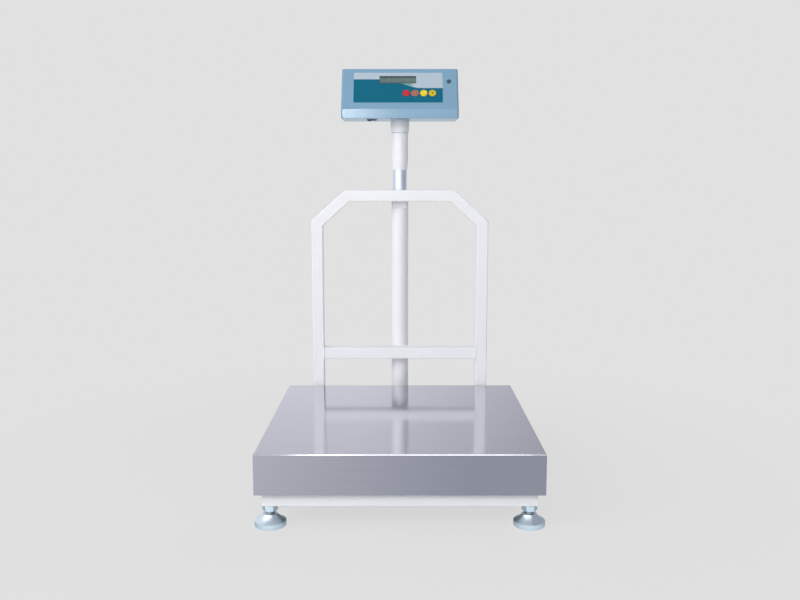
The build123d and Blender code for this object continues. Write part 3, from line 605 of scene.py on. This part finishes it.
def digit_front():
    """The module's epoxy, darker along its edges and greener at the right end."""
    material, tree, place = start_material("digit_module_epoxy")
    right, up = face_millimetres(tree, place)
    at_edge = add(tree, "ShaderNodeMapRange", {
        "Value": off_centre(tree, up, window_y), "From Min": 4.5, "From Max": 7.0,
    }, interpolation_type="SMOOTHSTEP")
    at_right = add(tree, "ShaderNodeMapRange", {"Value": right, "From Min": 8.0, "From Max": 30.0})
    cloud = pattern(tree, place, EPOXY_MM, detail=3.0)
    front = add(tree, "ShaderNodeMix", {
        0: cloud, 6: linear("#93A4A1"), 7: linear("#8A9B99"),
    }, data_type="RGBA")
    for share, tone in ((at_right, "#83A998"), (at_edge, "#50636C")):
        front = add(tree, "ShaderNodeMix", {
            0: share, 6: front, 7: linear(tone),
        }, data_type="RGBA")
    end_material(
        tree, Base_Color=front,
        Roughness=add(tree, "ShaderNodeMapRange", {
            "Value": cloud, "To Min": 0.36, "To Max": 0.46,
        }),
        Normal=add(tree, "ShaderNodeBump", {
            "Height": cloud, "Distance": 0.01 * MM, "Strength": 0.5,
        }),
    )
    return material


coat("display_digits", digit_front())
print("module behind the pane", nodes["display_digits"].data.materials[0].name)

# %% [markdown]
# ## Growing pieces with geometry trees
# Digit bars, threads and weld beads each repeat one small form, so a geometry tree makes them
# from a few points or a line. A tree is run once on a seed object. The result becomes a plain
# mesh that rides on one body, and the seed is thrown away. Instances are made real at the end,
# because an export drops them.

# %% Growing pieces with geometry trees
def new_tree(name, **sizes):
    """A geometry tree with one geometry input and named sizes, and its input sockets."""
    tree = bpy.data.node_groups.new(name, "GeometryNodeTree")
    tree.interface.new_socket("Geometry", in_out="INPUT", socket_type="NodeSocketGeometry")
    for label, value in sizes.items():
        socket = tree.interface.new_socket(label, in_out="INPUT", socket_type="NodeSocketFloat")
        socket.default_value = value
    tree.interface.new_socket("Geometry", in_out="OUTPUT", socket_type="NodeSocketGeometry")
    return tree, tree.nodes.new("NodeGroupInput").outputs


def close_tree(tree, geometry, material):
    """Realize the instances, set the material and end the tree."""
    real = add(tree, "GeometryNodeRealizeInstances", {"Geometry": geometry})
    coated = add(tree, "GeometryNodeSetMaterial", {"Geometry": real, "Material": material})
    add(tree, "NodeGroupOutput", {"Geometry": coated})


def grow(name, mesh, tree, body, smooth=False, shift=(0, 0, 0), **sizes):
    """Run a geometry tree on a mesh, and keep the shifted result as a piece on a body."""
    seed = bpy.data.objects.new(f"{name}_seed", mesh)
    bpy.context.scene.collection.objects.link(seed)
    modifier = seed.modifiers.new("grow", "NODES")
    modifier.node_group = tree
    sockets = {item.name: item.identifier for item in tree.interface.items_tree}
    for label, value in sizes.items():
        modifier[sockets[label]] = value
    bpy.context.view_layer.update()
    graph = bpy.context.evaluated_depsgraph_get()
    grown = bpy.data.meshes.new_from_object(seed.evaluated_get(graph))
    bpy.data.objects.remove(seed)
    grown.name = name
    grown.transform(Matrix.Translation(shift))
    for polygon in grown.polygons:
        polygon.use_smooth = smooth
    piece = bpy.data.objects.new(name, grown)
    bpy.context.scene.collection.objects.link(piece)
    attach(piece, body)
    print(name, "triangles", sum(len(polygon.vertices) - 2 for polygon in grown.polygons))
    return piece


print("tree helpers ready")

# %% [markdown]
# ## Where the digits' bars lie
# The display has six digits of seven bars each, three level and four upright, and all of them
# lean a little to the right. The bars are alike, so one point stands for each of them, just
# behind the pane, and an attribute tells the upright ones apart.

# %% Where the digits' bars lie
DIGITS, DIGIT_LEAN = 6, math.radians(8)
BAR_LENGTH_MM, BAR_GAP_MM, BAR_DEPTH_MM = 5.2, 0.3, 2.72
digit_pitch = (pane_high.x - pane_low.x) / MM / DIGITS


def face_point(right, up, depth):
    """A point on the slanted face, sunk by a depth, all in mm."""
    return FACE_MIDDLE + (FACE_RIGHT * right + FACE_UP * up - FACE_OUT * depth) * MM


def digit_bars():
    """One point for each bar of each digit; upright bars carry a quarter turn."""
    points, turns = [], []
    half = BAR_LENGTH_MM / 2 + BAR_GAP_MM
    level = [(0, 2 * half, 0), (0, 0, 0), (0, -2 * half, 0)]
    upright = [(x * half, y * half, 1) for x in (-1, 1) for y in (-1, 1)]
    for digit in range(DIGITS):
        middle = window_x + (digit - (DIGITS - 1) / 2) * digit_pitch
        for x, y, turn in level + upright:
            lean = y * math.tan(DIGIT_LEAN)
            points.append(face_point(middle + x + lean, window_y + y, BAR_DEPTH_MM))
            turns.append(float(turn))
    mesh = bpy.data.meshes.new("digit_bar_points")
    mesh.from_pydata(points, [], [])
    mesh.attributes.new("upright", "FLOAT", "POINT").data.foreach_set("value", turns)
    return mesh


bar_points = digit_bars()
print("bars", len(bar_points.vertices), "at a digit pitch of", round(digit_pitch, 2), "mm")

# %% [markdown]
# ## The digits
# The tree sets the same flat six-sided bar on every point, lays it on the slanted face and gives
# the upright ones a quarter turn less the lean. The bars are printed in a pale diffuser that
# would glow when lit. Here they are off, and stand out from the epoxy only a little.

# %% The digits
BAR_WIDTH_MM, BAR_THICKNESS_MM = 1.1, 0.1


def bar_tree(material):
    """A flat six-sided bar on each point, lying on the slanted face."""
    tree, given = new_tree("digit_bars", Length=BAR_LENGTH_MM * MM, Width=BAR_WIDTH_MM * MM)
    rod = add(tree, "GeometryNodeMeshCylinder", {"Vertices": 6, "Radius": 1.0, "Depth": 1.0})
    size = add(tree, "ShaderNodeCombineXYZ", {
        "X": add(tree, "ShaderNodeMath", {0: given["Length"], 1: 0.5}, operation="MULTIPLY"),
        "Y": add(tree, "ShaderNodeMath", {0: given["Width"], 1: 0.55}, operation="MULTIPLY"),
        "Z": BAR_THICKNESS_MM * MM,
    })
    flat = add(tree, "GeometryNodeTransform", {"Geometry": rod, "Scale": size})
    upright = add(
        tree, "GeometryNodeInputNamedAttribute", {"Name": "upright"}, data_type="FLOAT",
    )
    turn = add(tree, "ShaderNodeMath", {
        0: upright, 1: math.pi / 2 - DIGIT_LEAN,
    }, operation="MULTIPLY")
    spin = add(tree, "FunctionNodeEulerToRotation", {
        0: add(tree, "ShaderNodeCombineXYZ", {"Z": turn}),
    })
    slope = add(tree, "FunctionNodeEulerToRotation", {0: (FACE_SLOPE, 0, 0)})
    bars = add(tree, "GeometryNodeInstanceOnPoints", {
        "Points": given["Geometry"], "Instance": flat,
        "Rotation": add(tree, "FunctionNodeRotateRotation", {0: spin, 1: slope}),
    })
    close_tree(tree, bars, material)
    return tree


digit_segments = grow(
    "digit_segments", bar_points, bar_tree(plastics["unlit_diffuser"]), "indicator",
)

# %% [markdown]
# ## The bending load cell
# The load cell is the one hard piece that bends. Its left end is bolted to the base and its
# right end carries the deck, so under load the thin beams over and under its holes give by up to
# a millimetre. Here a plain copy of the bar stands in its place, and the construction piece is
# hidden.

# %% The bending load cell
beam = bpy.data.objects.new("load_cell_beam", nodes["load_cell"].data.copy())
bpy.context.scene.collection.objects.link(beam)
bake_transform(beam)
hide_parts("load_cell")

# %% [markdown]
# ## Threads of the levelling feet
# The construction shows each stud as a plain bar at its outer diameter. The real one is an M16
# bar with a 2 mm pitch. A geometry tree winds a diamond-shaped ridge into a spiral round a
# thinner core, so that its tips just reach the outer diameter. The same tree serves all four
# studs and replaces the plain bars.

# %% Threads of the levelling feet
STUD_RADIUS_MM, STUD_LENGTH_MM = 8.0, 75.0
THREAD_PITCH_MM, THREAD_DEPTH_MM = 2.0, 1.15


def thread_tree(material):
    """A spiral ridge round a core, from the object's origin up, with both ends trimmed."""
    tree, given = new_tree(
        "stud_thread", Radius=STUD_RADIUS_MM * MM, Depth=THREAD_DEPTH_MM * MM,
        Pitch=THREAD_PITCH_MM * MM, Length=STUD_LENGTH_MM * MM,
    )
    root = add(tree, "ShaderNodeMath", {
        0: given["Radius"], 1: given["Depth"],
    }, operation="SUBTRACT")
    trimmed = add(tree, "ShaderNodeMath", {0: given["Depth"], 1: 2.0}, operation="MULTIPLY")
    run = add(tree, "ShaderNodeMath", {0: given["Length"], 1: trimmed}, operation="SUBTRACT")
    turns = add(tree, "ShaderNodeMath", {0: run, 1: given["Pitch"]}, operation="DIVIDE")
    spiral = add(tree, "GeometryNodeCurveSpiral", {
        "Resolution": 24, "Rotations": turns, "Start Radius": root, "End Radius": root,
        "Height": run,
    })
    spiral = add(tree, "GeometryNodeSetCurveNormal", {"Curve": spiral}, mode="Z_UP")
    ridge = add(tree, "GeometryNodeCurvePrimitiveCircle", {
        "Resolution": 4, "Radius": given["Depth"],
    })
    thread = add(tree, "GeometryNodeCurveToMesh", {
        "Curve": spiral, "Profile Curve": ridge, "Fill Caps": True,
    })
    core = add(tree, "GeometryNodeMeshCylinder", {
        "Vertices": 48, "Radius": root, "Depth": given["Length"],
    })
    half = add(tree, "ShaderNodeMath", {0: given["Length"], 1: 0.5}, operation="MULTIPLY")
    both = add(tree, "GeometryNodeJoinGeometry")
    for part, height in ((core, half), (thread, given["Depth"])):
        lifted = add(tree, "GeometryNodeTransform", {
            "Geometry": part,
            "Translation": add(tree, "ShaderNodeCombineXYZ", {"Z": height}),
        })
        tree.links.new(lifted.outputs[0], both.inputs[0])
    close_tree(tree, both, material)
    return tree


threads = thread_tree(zinc)
for corner in corners:
    low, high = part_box(f"foot_stud_{corner}")
    piece = grow(
        f"stud_thread_{corner}", bpy.data.meshes.new("empty"), threads, f"stud_{corner}",
        shift=((low.x + high.x) / 2, (low.y + high.y) / 2, low.z),
        Radius=(high.x - low.x) / 2, Length=high.z - low.z,
    )
    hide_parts(f"foot_stud_{corner}")

# %% [markdown]
# ## A weld bead along a route
# The tubes, blocks and plates are joined by fillet welds, then painted over. A bead is a row of
# overlapping drops, which the eye knows by its ripples. The geometry tree sets a drop every
# 1.6 mm along a line, each a little larger or smaller than the next, as a hand lays them.

# %% A weld bead along a route
DROP_PITCH_MM, DROP_RADIUS_MM = 1.6, 1.6


def bead_tree(material):
    """Drops at an even pitch along each edge of the seed's mesh."""
    tree, given = new_tree(
        "weld_beads", Pitch=DROP_PITCH_MM * MM, Radius=DROP_RADIUS_MM * MM,
    )
    route = add(tree, "GeometryNodeMeshToCurve", {"Mesh": given["Geometry"]})
    route = add(tree, "GeometryNodeResampleCurve", {
        "Curve": route, "Length": given["Pitch"],
    }, mode="LENGTH")
    drop = add(tree, "GeometryNodeMeshIcoSphere", {"Radius": given["Radius"], "Subdivisions": 2})
    swell = add(tree, "FunctionNodeRandomValue", {
        "Min": (0.9, 0.9, 0.9), "Max": (1.1, 1.1, 1.1), "Seed": 4,
    }, data_type="FLOAT_VECTOR")
    drops = add(tree, "GeometryNodeInstanceOnPoints", {
        "Points": route, "Instance": drop, "Scale": swell,
    })
    close_tree(tree, drops, material)
    return tree


def loops_mesh(name, loops):
    """A mesh of edge loops, each a list of points in metres and whether it closes."""
    points, edges = [], []
    for loop, closed in loops:
        first = len(points)
        points += loop
        edges += [(first + i, first + i + 1) for i in range(len(loop) - 1)]
        if closed:
            edges.append((first + len(loop) - 1, first))
    mesh = bpy.data.meshes.new(name)
    mesh.from_pydata(points, edges, [])
    return mesh


beads = bead_tree(white_coat)
print("drops in 100 mm of bead", round(100 / DROP_PITCH_MM))

# %% [markdown]
# ## Finding the joints
# Each weld lies along a real joint: a loop round the end of a tube, an upright line where a block
# meets the mast, or a line across a tube along the end of a plate. Their points could be typed
# in, but they would be wrong as soon as a tube moved, so they are measured from the boxes of the
# pieces that meet.

# %% Finding the joints
mast_low, mast_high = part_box("mast_tube")
mast_middle = (mast_low + mast_high) / 2
mast_radius = (mast_high.x - mast_low.x) / 2


def halves(node, axis):
    """The boxes of a node's two solids, which lie either side of its middle along an axis."""
    low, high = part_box(node)
    middle = (low[axis] + high[axis]) / 2
    boxes = []
    for upper in (False, True):
        points = [v.co for v in nodes[node].data.vertices if (v.co[axis] > middle) == upper]
        boxes.append([
            Vector([side(point[i] for point in points) for i in range(3)]) for side in (min, max)
        ])
    return boxes


def end_loops(box, axis):
    """The loops round both ends of a bar that runs along an axis."""
    low, high = box
    loops = []
    for end in (low, high):
        loop = []
        for first, second in ((low, low), (high, low), (high, high), (low, high)):
            corner = end.copy()
            corner[(axis + 1) % 3] = first[(axis + 1) % 3]
            corner[(axis + 2) % 3] = second[(axis + 2) % 3]
            loop.append(corner)
        loops.append((loop, True))
    return loops


def mast_lines(box):
    """Upright lines where a block's two sides meet the rail and the mast's round wall."""
    low, high = box
    wall_y = mast_middle.y - math.sqrt(mast_radius ** 2 - high.x ** 2)
    return [
        ([Vector((x, y, low.z)), Vector((x, y, high.z))], False)
        for x in (-high.x, high.x) for y in (low.y, wall_y)
    ]


def plate_lines(plate, tubes, z):
    """Lines across each tube's face along both ends of a plate that lies on it."""
    low, high = plate
    return [
        ([Vector((x, tube[0].y, z)), Vector((x, tube[1].y, z))], False)
        for x in (low.x, high.x) for tube in tubes
    ]


print("mast radius", round(mast_radius / MM, 1), "mm")

# %% [markdown]
# ## Where the welds run
# The crossbar, the spacers and the centre tubes are welded round their ends, the saddles and the
# foot block along the mast, and the load cell's plates across their tubes. The mitred corners are
# ground flush on the real frame, so they get none. All beads of a body become one piece, which
# moves with it.

# %% Where the welds run
base_tubes, deck_tubes = halves("base_centre_tubes", 1), halves("deck_centre_tubes", 1)
routes = {"base": end_loops(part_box("rail_crossbar"), 0), "deck": []}
for spacer in halves("upright_spacers", 0):
    routes["base"] += end_loops(spacer, 1)
for saddle in halves("mast_saddles", 2) + [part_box("mast_foot_block")]:
    routes["base"] += mast_lines(saddle)
for body, tubes in (("base", base_tubes), ("deck", deck_tubes)):
    for tube in tubes:
        routes[body] += end_loops(tube, 0)
routes["base"] += plate_lines(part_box("load_cell_base_plate"), base_tubes, base_tubes[0][1].z)
routes["deck"] += plate_lines(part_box("load_cell_deck_plate"), deck_tubes, deck_tubes[0][0].z)
for body, lines in routes.items():
    welds = grow(f"{body}_weld_beads", loops_mesh("weld_routes", lines), beads, body, smooth=True)
    print(body, "weld routes", len(lines))

# %% [markdown]
# ## Camera
# A camera fitted to the pan's four corners stands 1.7 m in front of the scale at chest height and
# looks slightly down. Its lens is a short telephoto of 40 mm on a full-frame sensor.

# %% Camera
FOCAL_LENGTH_MM, SENSOR_MM = 39.654, 36.0
LOOKING_DOWN = math.radians(8.01)
lens = bpy.data.cameras.new("camera")
lens.lens, lens.sensor_width = FOCAL_LENGTH_MM, SENSOR_MM
camera = bpy.data.objects.new("camera", lens)
camera.location = (0.0003, -1.7438, 0.6025)
camera.rotation_euler = (math.pi / 2 - LOOKING_DOWN, 0, 0)
bpy.context.scene.collection.objects.link(camera)
bpy.context.scene.camera = camera

# %% [markdown]
# ## What the steel mirrors of the floor
# Polished pieces look like the studio that they stand in. Mirror rays from the steel and the
# chrome see a floor of other greys than the camera does, with light and shade painted into it:
# painted shade to the right, a painted bright patch just before the feet, and painted shade under
# the pan. Each of the three is a share between 0 and 1 across the floor, laid over the last one.

# %% What the steel mirrors of the floor
BRIGHT_PATCH_START, BRIGHT_PATCH_END = -0.46, -0.36
SHADE_START, SHADE_FULL, SHADE_FADING, SHADE_END = -0.33, -0.27, 0.3, 0.6
DARKENING_START, DARKENING_END = -0.33, 0.13


def mirrored_floor(tree, place):
    """The colour of the floor that polished pieces mirror, with painted shade and a painted bright
    patch.
    """
    sideways, ahead, _ = add(tree, "ShaderNodeSeparateXYZ", {0: place}).outputs
    to_right = add(tree, "ShaderNodeMapRange", {
        "Value": sideways, "From Min": DARKENING_START, "From Max": DARKENING_END,
    })
    painted_bright_patch = add(tree, "ShaderNodeMapRange", {
        "Value": ahead, "From Min": BRIGHT_PATCH_START, "From Max": BRIGHT_PATCH_END,
    }, interpolation_type="SMOOTHSTEP")
    past_front = add(tree, "ShaderNodeMapRange", {
        "Value": ahead, "From Min": SHADE_START, "From Max": SHADE_FULL,
    })
    before_back = add(tree, "ShaderNodeMapRange", {
        "Value": ahead, "From Min": SHADE_FADING, "From Max": SHADE_END,
        "To Min": 1.0, "To Max": 0.0,
    })
    in_shade = add(tree, "ShaderNodeMath", {0: past_front, 1: before_back}, operation="MULTIPLY")
    # The three tones are painted: shade to the right, a bright patch before the feet, shade under
    # the pan.
    colour = linear("#D7D9E0")
    for share, tone in ((to_right, "#A8ADB8"), (painted_bright_patch, "#E9F1F7"), (in_shade, "#8E98A2")):
        colour = add(tree, "ShaderNodeMix", {
            0: share, 6: colour, 7: linear(tone),
        }, data_type="RGBA")
    return colour


# %% [markdown]
# ## Floor
# The background is a flat pale grey. The floor takes the same grey: part of it glows flatly for
# the camera, and part is lit, so that the soft shadow under the scale stays visible and the
# floor still joins the backdrop at the horizon.

# %% Floor
BACKDROP = linear("#E1E1E1")
GLOW = 0.85
SHADOW_RADIUS, PLAIN_RADIUS = 0.35, 1.1


def studio_floor():
    """A floor that is part lit and part glowing, with its own colours for mirror rays."""
    material, tree, place = start_material("studio_floor")
    ray = add(tree, "ShaderNodeLightPath").outputs
    colour = add(tree, "ShaderNodeMix", {
        0: ray["Is Glossy Ray"], 6: BACKDROP, 7: mirrored_floor(tree, place),
    }, data_type="RGBA")
    reach = add(tree, "ShaderNodeVectorMath", {0: place}, operation="LENGTH")
    far = add(tree, "ShaderNodeMapRange", {
        "Value": reach, "From Min": SHADOW_RADIUS, "From Max": PLAIN_RADIUS,
        "To Min": GLOW, "To Max": 1.0,
    }, interpolation_type="SMOOTHSTEP")
    seen = add(tree, "ShaderNodeMath", {0: ray["Is Camera Ray"], 1: far}, operation="MULTIPLY")
    mirrored = add(tree, "ShaderNodeMath", {
        0: ray["Is Glossy Ray"], 1: GLOW,
    }, operation="MULTIPLY")
    share = add(tree, "ShaderNodeMath", {0: seen, 1: mirrored}, operation="MAXIMUM")
    mixed = add(tree, "ShaderNodeMixShader", {
        0: share,
        1: add(tree, "ShaderNodeBsdfDiffuse", {"Color": BACKDROP}),
        2: add(tree, "ShaderNodeEmission", {"Color": colour}),
    })
    add(tree, "ShaderNodeOutputMaterial", {"Surface": mixed})
    return material


bpy.ops.mesh.primitive_plane_add(size=40)
floor = bpy.context.object
floor.name = "floor"
floor.data.materials.append(studio_floor())
print("floor at", round(floor.location.z, 3), "m, grey", round(BACKDROP[0], 3), "in linear light")

# %% [markdown]
# ## Backdrop
# The world shows the same flat grey to the camera. Mirror rays see a wall that darkens to the
# right and a brighter band below eye level, and all other rays get a soft light that weakens to
# the right, which rounds the tubes. So the picture's background, its reflections and its light
# can each be set without touching the others.

# %% Backdrop
world = bpy.data.worlds.new("studio")
bpy.context.scene.world = world
world.use_nodes = True
tree = world.node_tree
tree.nodes.clear()
path = add(tree, "ShaderNodeLightPath").outputs
direction = add(tree, "ShaderNodeTexCoord").outputs["Generated"]
to_right, _, upwards = add(tree, "ShaderNodeSeparateXYZ", {0: direction}).outputs
ambient = add(tree, "ShaderNodeMapRange", {
    "Value": to_right, "From Min": -0.1, "From Max": 0.7, "To Min": 0.48, "To Max": 0.14,
})
wall = add(tree, "ShaderNodeMix", {
    0: add(tree, "ShaderNodeMapRange", {"Value": to_right, "From Min": -0.05, "From Max": 0.3}),
    6: linear("#DEDEE6"), 7: linear("#9B9BA5"),
}, data_type="RGBA")
wall_strength = add(tree, "ShaderNodeMapRange", {
    "Value": upwards, "From Min": 0.22, "From Max": 0.34, "To Min": 1.16, "To Max": 0.96,
})
shown = add(tree, "ShaderNodeBackground", {
    "Color": add(tree, "ShaderNodeMix", {
        0: path["Is Camera Ray"], 6: wall, 7: BACKDROP,
    }, data_type="RGBA"),
    "Strength": add(tree, "ShaderNodeMix", {0: path["Is Camera Ray"], 2: wall_strength, 3: 1.0}),
})
soft = add(tree, "ShaderNodeBackground", {"Color": linear("#F0F2F6"), "Strength": ambient})
seen = add(tree, "ShaderNodeMath", {
    0: path["Is Camera Ray"], 1: path["Is Glossy Ray"],
}, operation="MAXIMUM")
mixed = add(tree, "ShaderNodeMixShader", {0: seen, 1: soft, 2: shown})
add(tree, "ShaderNodeOutputWorld", {"Surface": mixed})
print("world nodes", len(tree.nodes))

# %% [markdown]
# ## Light
# Studio light for a catalogue picture. The key, a large soft box at the upper left, makes the left
# side of every tube a little brighter. The front box lights the white tubes evenly, the narrow
# strip draws a highlight on the case's chin, and the fill and the top box keep the shadow side
# open. The rear box serves views from behind. It is hidden from mirror rays, or it would glint
# on the right foot.

# %% Light
def soft_box(name, place, target, size, power, mirrored=True):
    """A rectangular lamp at a place, turned to its target."""
    lamp = bpy.data.lights.new(name, "AREA")
    lamp.shape, lamp.size, lamp.size_y, lamp.energy = "RECTANGLE", size[0], size[1], power
    box = bpy.data.objects.new(name, lamp)
    box.location = place
    box.visible_glossy = mirrored
    box.rotation_euler = (Vector(target) - Vector(place)).to_track_quat("-Z", "Y").to_euler()
    bpy.context.scene.collection.objects.link(box)
    print(name, "box", power, "W")


middle = (0, 0, 0.4)
soft_box("key", (-2.2, -1.5, 1.8), middle, size=(1.4, 1.6), power=39)
soft_box("front", (0.05, -2.6, 1.9), (0, 0.2, 0.3), size=(1.2, 0.8), power=18)
soft_box("strip", (-0.33, -2.7, 0.95), (0, 0.2, 0.6), size=(0.12, 0.5), power=9)
soft_box("fill", (0.6, -2.8, 1.3), middle, size=(1.2, 1.2), power=4)
soft_box("top", (0.2, 0.6, 2.8), middle, size=(1.8, 1.8), power=6)
soft_box("rear", (1.8, 2.6, 2.2), middle, size=(1.6, 1.6), power=26, mirrored=False)
bpy.context.scene.view_settings.view_transform = "Standard"
